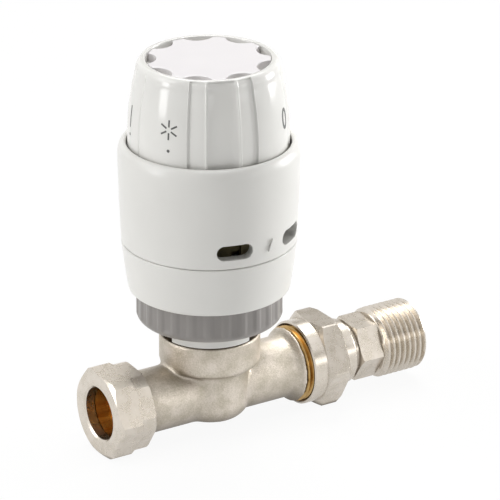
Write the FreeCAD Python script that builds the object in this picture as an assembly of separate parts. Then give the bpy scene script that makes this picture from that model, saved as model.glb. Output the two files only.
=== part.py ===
import FreeCAD, Part
import math
import os

# Straight thermostatic radiator valve: 15 mm compression inlet, union tailpiece, sensor head.
# X runs along the pipe from the inlet mouth to the tail thread. Z runs up the head's axis.
# The origin is the centre of the inlet mouth. All sizes are in millimetres.

Vec = FreeCAD.Vector
full_turn = 360.0

# fits and gaps
thread_clearance = 0.10      # radial, threads that turn on each other
guide_clearance = 0.08       # radial, rods that slide in holes
still_clearance = 0.05       # radial, pieces of one body that stay together
play = 0.30                  # between faces that pass each other
shell_gap = 0.44             # radial, shells that turn inside shells

# inlet end
pipe_radius = 7.5
pipe_clearance = 0.15
pipe_stop = 16.0             # depth of the pipe stop from the mouth
inlet_nut_flats = 24.0
inlet_nut_corner = 13.3      # turned corner radius
inlet_nut_face = 12.0        # front face radius inside the chamfer
inlet_nut_chamfer = 0.7
inlet_nut_hex_end = 6.7
inlet_nut_skirt = 12.5
inlet_nut_length = 11.8
inlet_nut_web = 3.2
inlet_nut_cone = 1.8
nut_first_corner = 124.0     # degrees from +Y towards +Z
inlet_thread = 10.48
inlet_thread_start = 6.6
inlet_thread_length = 4.6
inlet_tube = 9.15
mouth_radius = 9.3           # the cone that the olive is pressed into
mouth_cone = 2.8
olive_wall = 1.25
olive_land = 2.0

# body
head_x = 37.0                # the head's axis, from the inlet mouth
waterway = 5.5
neck_radius = 14.45
neck_top = 17.4
neck_bottom = 8.4
shoulder = 0.9
barrel_radius = 11.4
barrel_bottom = -8.7
barrel_round = 6.0
seat_height = 3.5
seat_bore = 4.0
seat_lip = 1.0
seat_rise = 0.8
seat_plate = 2.2
lower_chamber = 5.5
lower_chamber_bottom = -7.5
upper_chamber = 7.5
insert_start = 9.9           # height where the insert's thread begins
passage_radius = 3.4         # slanted passages under and over the seat
outlet_tube = 9.05
outlet_thread = 11.1
outlet_step = 24.4           # from the head's axis to the step before the thread
outlet_step_length = 1.4
outlet_thread_end = 33.5     # from the head's axis

# union nut and tailpiece, places measured from the head's axis
union_start = 28.2
union_collar = 12.3
union_hex_start = 33.2
union_end = 39.6
union_flats = 25.0
union_corner = 14.3
union_rear_face = 13.2
union_first_corner = 120.0
union_web = 2.2
washer_thickness = 1.5
tail_flange = 10.7
tail_flange_length = 2.0
tail_neck = 9.0
tail_ring = 9.5
tail_ring_start = 41.0
tail_ring_end = 44.8
tail_groove = 7.9
tail_hex_start = 46.5
tail_hex_end = 54.0
tail_flats = 16.7
tail_thread = 10.4775
tail_thread_start = 54.7
tail_length = 68.7           # end face, from the head's axis
tail_chamfer = 0.75
tail_bore = 6.5

# valve insert
insert_thread = 9.25
insert_seal_wire = 0.68
insert_seal_depth = 1.5
insert_flange = 11.4
insert_flange_top = 19.6
insert_spigot = 8.2
insert_top = 26.2
spring_room = 4.3
spring_floor = 11.4
gland_thread = 5.0
gland_bottom = 22.4
gland_head = 2.6
gland_flats = 9.0
gland_ring_wire = 0.6
spindle_radius = 1.5
spindle_top = 30.7
clip_radius = 3.7
clip_bottom = 19.0
clip_thickness = 0.8
rest_lift = 0.43             # seal above the seat at rest
disc_radius = 6.6
disc_seal_radius = 5.8
disc_seal_thickness = 1.5
disc_top = 6.9
hub_radius = 3.0
hub_height = 0.5

# head base and union ring
collar_radius = 13.3
collar_bottom = 17.5
collar_foot_step = 0.15       # radial, the collar's foot inside the neck's edge
collar_gap = 0.5             # radial, collar fingers around the insert's flange
finger_count = 3
finger_slot = 22.0           # degrees
finger_slot_first = 60.0
finger_slot_height = 3.6
base_plate_radius = 18.9
base_plate_bottom = 24.6
base_plate_top = 27.2
base_tube_outer = 16.0
base_tube_inner = 14.0
base_top = 36.0
ring_bottom = 21.9
ring_bottom_radius = 19.7
ring_radius = 20.85
ring_round = 1.1
ring_top = 33.5
flute_count = 26
flute_radius = 2.6
flute_depth = 0.35

# casings
casing_wall = 1.6
casing_bottom = 31.1
casing_bottom_radius = 22.9
casing_round = 1.0
seam_height = 46.0
seam_radius = 24.8
seam_gap = 0.2
lip_height = 1.6
casing_floor = 2.0
cup_hole = 6.5
sleeve_radius = 25.6
sleeve_shoulder = 71.8
rim_height = 75.6
rim_radius = 23.24
rim_land = 1.4
slot_height = 50.9
slot_length = 10.5
slot_width = 4.6
slot_angles = (255.0, 305.0, 75.0, 125.0)
guide_inner = 12.9
guide_wall = 1.4
guide_top = 60.0
lug_count = 3
lug_width = 3.0
lug_clearance = 0.15
retainer_bottom = 56.2
retainer_thickness = 1.2
retainer_width = 2.9

# dial
dial_mid_inset = 1.05        # the side's crown, inside the rim of the sleeve
dial_mid_height = 87.0
dial_top_inset = 2.85
dial_shoulder = 96.6
dial_top = 99.65
dial_wall = 1.8
dial_skirt_bottom = 57.8
dial_crown_width = 2.9
cap_seat = 96.9
dial_web = 2.0
drive_wall = 1.5
drive_bottom = 62.0
web_hole = 5.0
cap_gap = 0.25
cap_top = 99.4
scallop_count = 9
scallop_radius = 4.8
scallop_depth = 2.8
scallop_first = 28.0          # degrees to the first scallop
pin_radius = 1.0
pin_length = 7.0
pin_spread = 40.0            # degrees between the two limit pins

# sensor
carriage_radius = 10.9
carriage_wall = 1.2
carriage_bottom = 44.0
carriage_top = 88.0
carriage_floor = 2.0
lug_bottom = 46.5
lug_height = 4.0
lug_travel_low = 5.5
lug_travel_high = 7.5
can_wall = 0.5
can_bottom = 60.0
can_top = 87.5
lid_thickness = 1.2
bellows_outer = 7.2
bellows_inner = 4.7
bellows_wall = 0.3
bellows_folds = 9
bellows_top = 81.0
pushrod_radius = 2.2
pushrod_top = 80.5
pushrod_gap = 1.0
cup_outer = 5.6
cup_wall = 0.7
cup_bottom_thickness = 1.5
cup_top = 41.0
foot_thickness = 1.5
spring_wire = 0.45
return_coil = 3.1
return_turns = 5.5
overtravel_coil = 3.8
overtravel_wire = 0.5
overtravel_turns = 5.0

# places that follow from the sizes above
socket_radius = pipe_radius + pipe_clearance
outlet_thread_x = head_x + outlet_thread_end
washer_end_x = outlet_thread_x + washer_thickness
flange_end_x = washer_end_x + tail_flange_length
union_end_x = head_x + union_end
tail_end_x = head_x + tail_length
tail_hex_x = head_x + tail_hex_start
seal_bottom = seat_height + rest_lift
collar_bore = insert_flange + collar_gap
guide_outer = guide_inner + guide_wall
can_radius = carriage_radius - carriage_wall - still_clearance
floor_bottom = base_top
floor_top = base_top + casing_floor
sleeve_bore = rim_radius + play
dial_skirt_radius = rim_radius - shell_gap
dial_top_radius = rim_radius - dial_top_inset
dial_opening = dial_top_radius - dial_crown_width
drive_bore = carriage_radius + thread_clearance
drive_outer = drive_bore + drive_wall
pin_ring = (drive_outer + dial_top_radius - dial_wall) / 2


def outline(points):
    # a closed face in the XZ plane; a third number rounds that corner
    corners = [Vec(p[0], 0, p[1]) for p in points]
    radii = [p[2] if len(p) > 2 else 0.0 for p in points]
    count = len(points)
    arrive = []
    leave = []
    arcs = []
    for i in range(count):
        here = corners[i]
        back = corners[i - 1] - here
        ahead = corners[(i + 1) % count] - here
        if radii[i] == 0:
            arrive.append(here)
            leave.append(here)
            arcs.append(None)
            continue
        half = back.getAngle(ahead) / 2
        reach = radii[i] / math.tan(half)
        back.normalize()
        ahead.normalize()
        middle = back + ahead
        middle.normalize()
        start = here + back * reach
        end = here + ahead * reach
        crest = here + middle * (radii[i] / math.sin(half) - radii[i])
        arrive.append(start)
        leave.append(end)
        arcs.append(Part.Arc(start, crest, end).toShape())
    edges = []
    for i in range(count):
        if arcs[i]:
            edges.append(arcs[i])
        here = leave[i]
        there = arrive[(i + 1) % count]
        if (there - here).Length > 1e-6:
            edges.append(Part.makeLine(here, there))
    return Part.Face(Part.Wire(edges))


def turned_about_head(points):
    # points are (radius, height)
    solid = outline(points).revolve(Vec(0, 0, 0), Vec(0, 0, 1), full_turn)
    solid.translate(Vec(head_x, 0, 0))
    return solid


def turned_about_pipe(points):
    # points are (x, radius)
    return outline(points).revolve(Vec(0, 0, 0), Vec(1, 0, 0), full_turn)


def rod_on_head(radius, low, high):
    return Part.makeCylinder(radius, high - low, Vec(head_x, 0, low))


def rod_on_pipe(radius, start, end):
    return Part.makeCylinder(radius, end - start, Vec(start, 0, 0), Vec(1, 0, 0))


def hexagon_on_pipe(flats, start, end, first_corner):
    radius = flats / math.sqrt(3)
    corners = []
    for i in range(7):
        angle = math.radians(first_corner + 60 * i)
        corners.append(Vec(start, radius * math.cos(angle), radius * math.sin(angle)))
    return Part.Face(Part.makePolygon(corners)).extrude(Vec(end - start, 0, 0))


def hexagon_on_head(flats, low, high):
    radius = flats / math.sqrt(3)
    corners = []
    for i in range(7):
        angle = math.radians(60 * i)
        corners.append(Vec(head_x + radius * math.cos(angle), radius * math.sin(angle), low))
    return Part.Face(Part.makePolygon(corners)).extrude(Vec(0, 0, high - low))


def round_head(solid, angle):
    turned = solid.copy()
    turned.rotate(Vec(head_x, 0, 0), Vec(0, 0, 1), angle)
    return turned


def ring_of(solid, count, first=0.0):
    return [round_head(solid, first + full_turn * i / count) for i in range(count)]


def coil(mean_radius, wire_radius, low, high, turns):
    # an open coil whose wire stays between low and high
    height = high - low - 2 * wire_radius
    helix = Part.makeHelix(height / turns, height, mean_radius)
    section = Part.Wire(Part.makeCircle(wire_radius, Vec(mean_radius, 0, 0), Vec(0, 1, 0)))
    spring = Part.Wire(helix.Edges).makePipeShell([section], True, True)
    spring.translate(Vec(head_x, 0, low + wire_radius))
    return spring


def valve_body():
    thread_end = inlet_thread_start + inlet_thread_length
    step = head_x + outlet_step
    relief = inlet_thread - inlet_tube
    branches = turned_about_pipe([
        (inlet_thread_start, 0), (inlet_thread_start, inlet_thread - 0.4),
        (inlet_thread_start + 0.4, inlet_thread), (thread_end, inlet_thread),
        (thread_end + relief / 2, inlet_tube), (head_x, inlet_tube), (head_x, outlet_tube),
        (step, outlet_tube, 1.0), (step + outlet_step_length, outlet_thread, 0.4),
        (outlet_thread_x - 0.5, outlet_thread), (outlet_thread_x, outlet_thread - 0.5),
        (outlet_thread_x, 0)])
    trunk = turned_about_head([
        (0, barrel_bottom), (barrel_radius, barrel_bottom, barrel_round),
        (barrel_radius, neck_bottom - shoulder, 0.8), (neck_radius, neck_bottom, 0.5),
        (neck_radius, neck_top, 0.4), (0, neck_top)])
    outer = branches.fuse(trunk).removeSplitter()
    return outer.cut(waterways())


def waterways():
    seat_base = seat_height - seat_rise
    chamber_top = seat_base - seat_plate
    cone_end = inlet_thread_start + mouth_cone
    left = head_x - upper_chamber
    right = head_x + upper_chamber
    inlet = turned_about_pipe([
        (inlet_thread_start, 0), (inlet_thread_start, mouth_radius), (cone_end, socket_radius),
        (pipe_stop, socket_radius), (pipe_stop, waterway), (left - 2.5, waterway), (left - 2.5, 0)])
    under = slanted(Vec(left - 4.5, 0, 0), Vec(head_x - 2.0, 0, -5.0))
    over = slanted(Vec(right - 2.5, 0, 6.4), Vec(right + 6.5, 0, 0))
    outlet = rod_on_pipe(waterway, right + 5.0, outlet_thread_x)
    lower = rod_on_head(lower_chamber, lower_chamber_bottom, chamber_top)
    seat = rod_on_head(seat_bore, chamber_top, seat_height)
    seal_shelf = neck_top - insert_seal_depth
    seal_groove = insert_thread + 2 * insert_seal_wire - 0.15
    upper = turned_about_head([
        (seat_bore + seat_lip, seat_base), (upper_chamber, seat_base), (upper_chamber, insert_start),
        (insert_thread + still_clearance, insert_start),
        (insert_thread + still_clearance, seal_shelf), (seal_groove, seal_shelf),
        (seal_groove, neck_top), (0, neck_top), (0, seat_height), (seat_bore + seat_lip, seat_height)])
    return inlet.multiFuse([under, over, outlet, lower, seat, upper])


def slanted(start, end):
    run = end - start
    return Part.makeCylinder(passage_radius, run.Length, start, run)


def compression_nut():
    hexagon = hexagon_on_pipe(inlet_nut_flats, 0, inlet_nut_length, nut_first_corner)
    skirt_start = inlet_nut_hex_end + (inlet_nut_corner - inlet_nut_skirt) * 0.75
    turned = turned_about_pipe([
        (0, 0), (0, inlet_nut_face), (inlet_nut_chamfer, inlet_nut_corner),
        (inlet_nut_hex_end, inlet_nut_corner), (skirt_start, inlet_nut_skirt),
        (inlet_nut_length - 0.3, inlet_nut_skirt), (inlet_nut_length, inlet_nut_skirt - 0.3),
        (inlet_nut_length, 0)])
    cone_end = inlet_nut_web + inlet_nut_cone
    thread = inlet_thread + thread_clearance
    hollow = turned_about_pipe([
        (0, 0), (0, socket_radius + 0.5), (0.5, socket_radius), (inlet_nut_web, socket_radius),
        (cone_end, socket_radius + inlet_nut_cone), (cone_end, thread),
        (inlet_nut_length, thread), (inlet_nut_length, 0)])
    return hexagon.common(turned).cut(hollow)


def olive():
    start = inlet_nut_web + play
    end = inlet_thread_start + mouth_cone - play
    crest = socket_radius + olive_wall
    land_start = end - (end - start - olive_land) * 0.6 - olive_land
    edge = socket_radius + 0.1
    return turned_about_pipe([
        (start, socket_radius), (start, edge), (land_start, crest),
        (land_start + olive_land, crest), (end, edge), (end, socket_radius)])


def union_nut():
    start = head_x + union_start
    hex_start = head_x + union_hex_start
    hexagon = hexagon_on_pipe(union_flats, start, union_end_x, union_first_corner)
    rise = union_corner - union_collar
    rear = union_corner - union_rear_face
    turned = turned_about_pipe([
        (start, 0), (start, union_collar - 0.4), (start + 0.4, union_collar),
        (hex_start - rise * 0.3, union_collar, 0.6), (hex_start + rise * 0.3, union_corner),
        (union_end_x - rear, union_corner), (union_end_x, union_rear_face), (union_end_x, 0)])
    shoulder_x = union_end_x - union_web
    thread = outlet_thread + thread_clearance
    neck_hole = tail_neck + play
    hollow = turned_about_pipe([
        (start, 0), (start, thread + 0.5), (start + 0.5, thread), (shoulder_x, thread),
        (shoulder_x, neck_hole), (union_end_x, neck_hole), (union_end_x, 0)])
    return hexagon.common(turned).cut(hollow)


def tail_washer():
    return turned_about_pipe([
        (outlet_thread_x, tail_bore), (outlet_thread_x, tail_flange - 0.3),
        (washer_end_x, tail_flange - 0.3), (washer_end_x, tail_bore)])


def tailpiece():
    ring_start = head_x + tail_ring_start
    ring_end = head_x + tail_ring_end
    hex_end = head_x + tail_hex_end
    thread_start = head_x + tail_thread_start
    root = tail_thread - 1.3
    thread_end = tail_end_x - tail_chamfer
    turned = turned_about_pipe([
        (washer_end_x, 0), (washer_end_x, tail_flange), (flange_end_x, tail_flange),
        (flange_end_x, tail_neck), (ring_start, tail_neck), (ring_start + 0.4, tail_ring),
        (ring_end - 0.4, tail_ring), (ring_end, tail_ring - 0.4), (ring_end, tail_groove),
        (tail_hex_x, tail_groove), (hex_end, tail_groove), (hex_end, root), (thread_start, root),
        (thread_start + 0.6, tail_thread), (thread_end, tail_thread),
        (tail_end_x, tail_thread - tail_chamfer), (tail_end_x, 0)])
    hexagon = hexagon_on_pipe(tail_flats, tail_hex_x, hex_end, nut_first_corner)
    bore = turned_about_pipe([
        (washer_end_x, 0), (washer_end_x, tail_bore), (tail_end_x - 0.6, tail_bore),
        (tail_end_x, tail_bore + 0.6), (tail_end_x, 0)])
    return turned.fuse(hexagon).cut(bore)


def bonnet():
    seal_shelf = neck_top - insert_seal_depth
    guide = spindle_radius + guide_clearance
    room_top = gland_bottom - 0.4
    return turned_about_head([
        (guide, insert_start), (insert_thread - 0.5, insert_start),
        (insert_thread, insert_start + 0.5), (insert_thread, seal_shelf),
        (insert_thread - 0.3, seal_shelf), (insert_thread - 0.3, neck_top),
        (insert_flange, neck_top), (insert_flange, insert_flange_top),
        (insert_spigot, insert_flange_top), (insert_spigot, insert_top),
        (gland_thread, insert_top), (gland_thread, room_top), (spring_room, room_top),
        (spring_room, spring_floor), (guide, spring_floor)])


def bonnet_seal():
    middle = insert_thread - 0.2 + insert_seal_wire
    seal = Part.makeTorus(middle, insert_seal_wire)
    seal.translate(Vec(head_x, 0, neck_top - insert_seal_depth / 2))
    return seal


def gland_nut():
    thread = gland_thread - still_clearance
    guide = spindle_radius + guide_clearance
    recess = spindle_radius + 2 * gland_ring_wire + 0.15
    recess_top = gland_bottom + 2 * gland_ring_wire + 0.3
    turned = turned_about_head([
        (recess, gland_bottom), (thread, gland_bottom), (thread, insert_top), (guide, insert_top),
        (guide, recess_top), (recess, recess_top)])
    head = hexagon_on_head(gland_flats, insert_top, insert_top + gland_head)
    return turned.fuse(head).cut(rod_on_head(guide, insert_top, insert_top + gland_head))


def gland_seal():
    seal = Part.makeTorus(spindle_radius + gland_ring_wire + 0.1, gland_ring_wire)
    seal.translate(Vec(head_x, 0, gland_bottom + gland_ring_wire + 0.15))
    return seal


def spindle():
    return turned_about_head([
        (0, seal_bottom), (spindle_radius, seal_bottom), (spindle_radius, clip_bottom),
        (spindle_radius - 0.3, clip_bottom), (spindle_radius - 0.3, clip_bottom + clip_thickness),
        (spindle_radius, clip_bottom + clip_thickness), (spindle_radius, spindle_top, 0.5),
        (0, spindle_top)])


def spindle_clip():
    bore = spindle_radius - 0.3 + still_clearance
    return turned_about_head([
        (bore, clip_bottom), (clip_radius, clip_bottom),
        (clip_radius, clip_bottom + clip_thickness), (bore, clip_bottom + clip_thickness)])


def return_spring():
    return coil(return_coil, spring_wire, spring_floor + 0.1, clip_bottom - 0.1, return_turns)


def disc_holder():
    bore = spindle_radius + still_clearance
    seal_top = seal_bottom + disc_seal_thickness
    recess = disc_seal_radius + still_clearance
    rim = seal_top - 0.6
    return turned_about_head([
        (bore, seal_top), (recess, seal_top), (recess, rim), (disc_radius, rim),
        (disc_radius, disc_top), (hub_radius, disc_top), (hub_radius, disc_top + hub_height),
        (bore, disc_top + hub_height)])


def disc_seal():
    bore = spindle_radius + still_clearance
    top = seal_bottom + disc_seal_thickness
    return turned_about_head([
        (bore, seal_bottom), (disc_seal_radius, seal_bottom), (disc_seal_radius, top), (bore, top)])


def mounting_base():
    bore = insert_spigot + still_clearance
    foot = neck_radius - collar_foot_step
    foot_top = ring_bottom - still_clearance
    solid = turned_about_head([
        (collar_bore, collar_bottom), (foot, collar_bottom, 0.3),
        (foot, foot_top), (collar_radius, foot_top),
        (collar_radius, base_plate_bottom), (base_plate_radius, base_plate_bottom),
        (base_plate_radius, base_plate_top), (base_tube_outer, base_plate_top),
        (base_tube_outer, base_top), (base_tube_inner, base_top),
        (base_tube_inner, base_plate_top), (bore, base_plate_top),
        (bore, insert_flange_top), (collar_bore, insert_flange_top)])
    wide = 2 * collar_radius * math.sin(math.radians(finger_slot / 2))
    low = collar_bottom - 1
    gap = Part.makeBox(foot, wide, finger_slot_height + 1,
                       Vec(head_x + insert_spigot + 1.2, -wide / 2, low))
    slots = ring_of(gap, finger_count, finger_slot_first)
    return solid.cut(slots[0].multiFuse(slots[1:]))


def union_ring():
    thread = base_plate_radius + thread_clearance
    hole = collar_radius + thread_clearance
    web_top = base_plate_bottom - play
    solid = turned_about_head([
        (hole, ring_bottom), (ring_bottom_radius, ring_bottom, 0.5),
        (ring_radius, ring_bottom + ring_round, 0.8), (ring_radius, ring_top), (thread, ring_top),
        (thread, web_top), (hole, web_top)])
    reach = ring_radius - flute_depth + flute_radius
    low = ring_bottom + ring_round + 0.6
    flute = Part.makeCylinder(flute_radius, ring_top - low, Vec(head_x + reach, 0, low))
    flutes = ring_of(flute, flute_count)
    return solid.cut(flutes[0].multiFuse(flutes[1:]))


def lower_casing():
    seam = seam_height - seam_gap
    slope = (seam_radius - casing_bottom_radius) / (seam_height - casing_bottom)
    lip_outer = sleeve_bore - still_clearance
    lip_inner = lip_outer - casing_wall

    def inside(height):
        return casing_bottom_radius + slope * (height - casing_bottom) - casing_wall

    return turned_about_head([
        (casing_bottom_radius - casing_wall, casing_bottom),
        (casing_bottom_radius, casing_bottom, casing_round), (seam_radius, seam, 0.2),
        (lip_outer, seam), (lip_outer, seam + lip_height), (lip_inner, seam + lip_height),
        (lip_inner, floor_top), (cup_hole, floor_top), (cup_hole, floor_bottom),
        (inside(floor_bottom), floor_bottom)])


def guide_tube():
    solid = turned_about_head([
        (guide_inner, floor_top), (guide_outer, floor_top), (guide_outer, guide_top),
        (guide_inner, guide_top)])
    wide = lug_width + 2 * lug_clearance
    low = lug_bottom - lug_travel_low
    high = lug_bottom + lug_height + lug_travel_high
    slot = Part.makeBox(guide_outer, wide, high - low, Vec(head_x + 2, -wide / 2, low))
    slots = ring_of(slot, lug_count, 30.0)
    return solid.cut(slots[0].multiFuse(slots[1:]))


def upper_casing():
    crest = rim_radius + 0.5
    solid = turned_about_head([
        (sleeve_bore, seam_height), (seam_radius, seam_height, 0.2),
        (sleeve_radius, sleeve_shoulder, 6.0), (crest, rim_height, 0.4),
        (rim_radius, rim_height - 0.2), (rim_radius, rim_height - rim_land),
        (sleeve_bore, rim_height - rim_land - 0.3)])
    slots = [vent_slot(angle) for angle in slot_angles]
    return solid.cut(slots[0].multiFuse(slots[1:]))


def vent_slot(angle):
    # an obround through the sleeve's wall
    half = slot_length / 2 - slot_width / 2
    reach = sleeve_bore - 4
    depth = sleeve_radius - reach + 2
    start = Vec(head_x + reach, 0, slot_height)
    block = Part.makeBox(depth, 2 * half, slot_width,
                         Vec(start.x, -half, slot_height - slot_width / 2))
    ends = [Part.makeCylinder(slot_width / 2, depth, start + Vec(0, side * half, 0), Vec(1, 0, 0))
            for side in (-1, 1)]
    return round_head(block.multiFuse(ends), angle)


def dial_retainer():
    outer = sleeve_bore - still_clearance
    inner = sleeve_bore - retainer_width
    top = retainer_bottom + retainer_thickness
    return turned_about_head([
        (inner, retainer_bottom), (outer, retainer_bottom), (outer, top), (inner, top)])


def dial():
    web_bottom = cap_seat - dial_web
    inner_low = dial_skirt_radius - dial_wall
    inner_top = dial_top_radius - dial_wall
    side = Part.Arc(Vec(dial_skirt_radius, 0, rim_height), Vec(rim_radius - dial_mid_inset, 0, dial_mid_height),
                    Vec(dial_top_radius, 0, dial_shoulder)).toShape()
    crown = Part.Arc(Vec(dial_top_radius, 0, dial_shoulder),
                     Vec(dial_top_radius - 0.75, 0, dial_top - 0.8),
                     Vec(dial_opening + 0.5, 0, dial_top)).toShape()
    corners = [
        (dial_opening + 0.5, dial_top), (dial_opening, dial_top - 0.4), (dial_opening, cap_seat),
        (web_hole, cap_seat), (web_hole, web_bottom), (drive_bore, web_bottom), (drive_bore, drive_bottom),
        (drive_outer, drive_bottom), (drive_outer, web_bottom), (inner_top, web_bottom),
        (inner_low, rim_height), (inner_low, dial_skirt_bottom),
        (dial_skirt_radius, dial_skirt_bottom), (dial_skirt_radius, rim_height)]
    line = Part.makePolygon([Vec(r, 0, z) for r, z in corners])
    profile = Part.Face(Part.Wire([side, crown] + line.Edges))
    solid = profile.revolve(Vec(0, 0, 0), Vec(0, 0, 1), full_turn)
    solid.translate(Vec(head_x, 0, 0))
    hole = Part.makeCylinder(pin_radius + still_clearance, dial_web,
                             Vec(head_x + pin_ring, 0, web_bottom))
    holes = [round_head(hole, side * pin_spread / 2) for side in (-1, 1)]
    return solid.cut(holes[0].fuse(holes[1]))


def limit_pins():
    pin = Part.makeCylinder(pin_radius, pin_length, Vec(head_x + pin_ring, 0, cap_seat - pin_length))
    return Part.makeCompound([round_head(pin, side * pin_spread / 2) for side in (-1, 1)])


def dial_cap():
    radius = dial_opening - cap_gap
    disc = turned_about_head([
        (0, cap_seat), (radius, cap_seat), (radius, cap_top, 0.4), (0, cap_top)])
    centre = radius - scallop_depth + scallop_radius
    scallop = Part.makeCylinder(scallop_radius, cap_top - cap_seat,
                                Vec(head_x + centre, 0, cap_seat))
    scallops = ring_of(scallop, scallop_count, scallop_first)
    return disc.cut(scallops[0].multiFuse(scallops[1:]))


def carriage():
    inner = carriage_radius - carriage_wall
    floor = carriage_bottom + carriage_floor
    solid = turned_about_head([
        (pushrod_radius + pushrod_gap, carriage_bottom), (carriage_radius, carriage_bottom),
        (carriage_radius, carriage_top), (inner, carriage_top), (inner, floor),
        (pushrod_radius + pushrod_gap, floor)])
    lug_end = guide_outer - play
    lug = Part.makeBox(lug_end - inner - 0.2, lug_width, lug_height,
                       Vec(head_x + inner + 0.2, -lug_width / 2, lug_bottom))
    return solid.multiFuse(ring_of(lug, lug_count, 30.0))


def sensor_can():
    inner = can_radius - can_wall
    return turned_about_head([
        (inner, can_bottom), (can_radius, can_bottom), (can_radius, can_top, 0.8), (0, can_top),
        (0, can_top - can_wall), (inner, can_top - can_wall, 0.4)])


def sensor_lid():
    hole = pushrod_radius + pushrod_gap
    low = can_bottom - lid_thickness
    return turned_about_head([
        (hole, low), (can_radius, low), (can_radius, can_bottom), (hole, can_bottom)])


def bellows():
    # a thin folded tube on the lid, closed at its top
    low = can_bottom
    high = bellows_top - bellows_wall
    step = (high - low) / (2 * bellows_folds)
    outside = []
    inside = []
    for i in range(2 * bellows_folds + 1):
        radius = bellows_inner if i % 2 == 0 else bellows_outer
        outside.append((radius, low + i * step))
        inside.append((radius - bellows_wall * 1.6, low + i * step))
    top = [(bellows_inner, bellows_top), (0, bellows_top), (0, high)]
    return turned_about_head(outside + top + inside[::-1])


def pushrod():
    foot = cup_outer - cup_wall - 0.2
    foot_low = cup_top - foot_thickness
    return turned_about_head([
        (0, foot_low), (foot, foot_low), (foot, cup_top), (pushrod_radius, cup_top),
        (pushrod_radius, pushrod_top, 0.6), (0, pushrod_top)])


def thrust_cup():
    inner = cup_outer - cup_wall
    return turned_about_head([
        (0, spindle_top), (cup_outer, spindle_top, 0.5), (cup_outer, cup_top), (inner, cup_top),
        (inner, spindle_top + cup_bottom_thickness), (0, spindle_top + cup_bottom_thickness)])


def overtravel_spring():
    low = spindle_top + cup_bottom_thickness + 0.1
    return coil(overtravel_coil, overtravel_wire, low, cup_top - foot_thickness - 0.1,
                overtravel_turns)


pieces = [
    valve_body, compression_nut, olive, union_nut, tailpiece, tail_washer, bonnet, bonnet_seal,
    gland_nut, gland_seal, spindle, spindle_clip, return_spring, disc_holder, disc_seal,
    mounting_base, union_ring, lower_casing, guide_tube, upper_casing, dial_retainer, dial,
    dial_cap, limit_pins, carriage, sensor_can, sensor_lid, bellows, pushrod, thrust_cup,
    overtravel_spring]

os.makedirs("parts", exist_ok=True)
for piece in pieces:
    shape = piece()
    box = shape.BoundBox
    print(f"{piece.__name__:18s} solids {len(shape.Solids)} valid {shape.isValid()} "
          f"volume {shape.Volume:9.1f}  x {box.XMin:6.1f} {box.XMax:6.1f}  z {box.ZMin:6.1f} {box.ZMax:6.1f}")
    shape.exportStep(f"parts/{piece.__name__}.step")
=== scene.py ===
import bpy
import bmesh
import math
from mathutils import Matrix, Vector


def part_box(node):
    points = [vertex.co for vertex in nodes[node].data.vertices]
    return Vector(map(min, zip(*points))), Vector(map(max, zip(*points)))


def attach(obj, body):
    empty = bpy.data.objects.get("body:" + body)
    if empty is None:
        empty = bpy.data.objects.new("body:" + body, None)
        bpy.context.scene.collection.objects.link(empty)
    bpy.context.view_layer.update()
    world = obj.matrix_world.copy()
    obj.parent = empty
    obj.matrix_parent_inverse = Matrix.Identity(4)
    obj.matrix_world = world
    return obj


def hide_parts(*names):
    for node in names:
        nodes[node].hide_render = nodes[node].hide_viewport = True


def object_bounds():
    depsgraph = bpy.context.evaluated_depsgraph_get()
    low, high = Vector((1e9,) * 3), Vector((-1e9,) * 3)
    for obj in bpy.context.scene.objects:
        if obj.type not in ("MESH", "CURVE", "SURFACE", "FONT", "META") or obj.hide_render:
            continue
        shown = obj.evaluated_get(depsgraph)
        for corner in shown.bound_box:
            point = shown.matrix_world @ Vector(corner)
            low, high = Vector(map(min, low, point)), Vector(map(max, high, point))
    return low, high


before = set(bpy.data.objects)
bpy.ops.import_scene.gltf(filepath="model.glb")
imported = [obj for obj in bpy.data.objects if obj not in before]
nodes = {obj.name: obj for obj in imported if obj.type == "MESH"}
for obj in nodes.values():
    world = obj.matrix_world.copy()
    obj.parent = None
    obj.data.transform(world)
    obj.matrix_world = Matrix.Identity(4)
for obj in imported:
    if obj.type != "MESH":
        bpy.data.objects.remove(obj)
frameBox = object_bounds()
mm = 0.001
scene = bpy.context.scene


def boxOf(node):
    low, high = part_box(node)
    return low / mm, high / mm


# heights and radii in mm, read from the frame
dialLow, dialHigh = boxOf("dial")
sleeveLow, sleeveHigh = boxOf("upper_casing")
casingLow = boxOf("lower_casing")[0]
ringLow, ringHigh = boxOf("union_ring")
bodyLow, bodyHigh = boxOf("valve_body")
inletNutHigh = boxOf("compression_nut")[1]
unionLow, unionHigh = boxOf("union_nut")
tailLow, tailHigh = boxOf("tailpiece")
headX = (dialLow.x + dialHigh.x) / 2
print("frame loaded, head axis at", round(headX, 3), "mm")


def hexColour(code):
    channels = [int(code[i:i + 2], 16) / 255 for i in (0, 2, 4)]
    linear = [c / 12.92 if c <= 0.04045 else ((c + 0.055) / 1.055) ** 2.4 for c in channels]
    return (*linear, 1.0)


def addNode(tree, kind, settings=None, links=None):
    node = tree.nodes.new(kind)
    for key, value in (settings or {}).items():
        if isinstance(key, int) or key in node.inputs:
            node.inputs[key].default_value = value
        else:
            setattr(node, key, value)
    for key, socket in (links or {}).items():
        tree.links.new(socket, node.inputs[key])
    return node


def emptyMaterial(name):
    material = bpy.data.materials.new(name)
    material.use_nodes = True
    material.node_tree.nodes.clear()
    return material, material.node_tree


def newMaterial(name):
    material, tree = emptyMaterial(name)
    shader = addNode(tree, "ShaderNodeBsdfPrincipled")
    addNode(tree, "ShaderNodeOutputMaterial", None, {"Surface": shader.outputs["BSDF"]})
    coords = addNode(tree, "ShaderNodeTexCoord")
    return material, tree, shader, coords.outputs["Object"]


def perMetre(sizeMm):
    return 1 / (sizeMm * mm)


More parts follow.
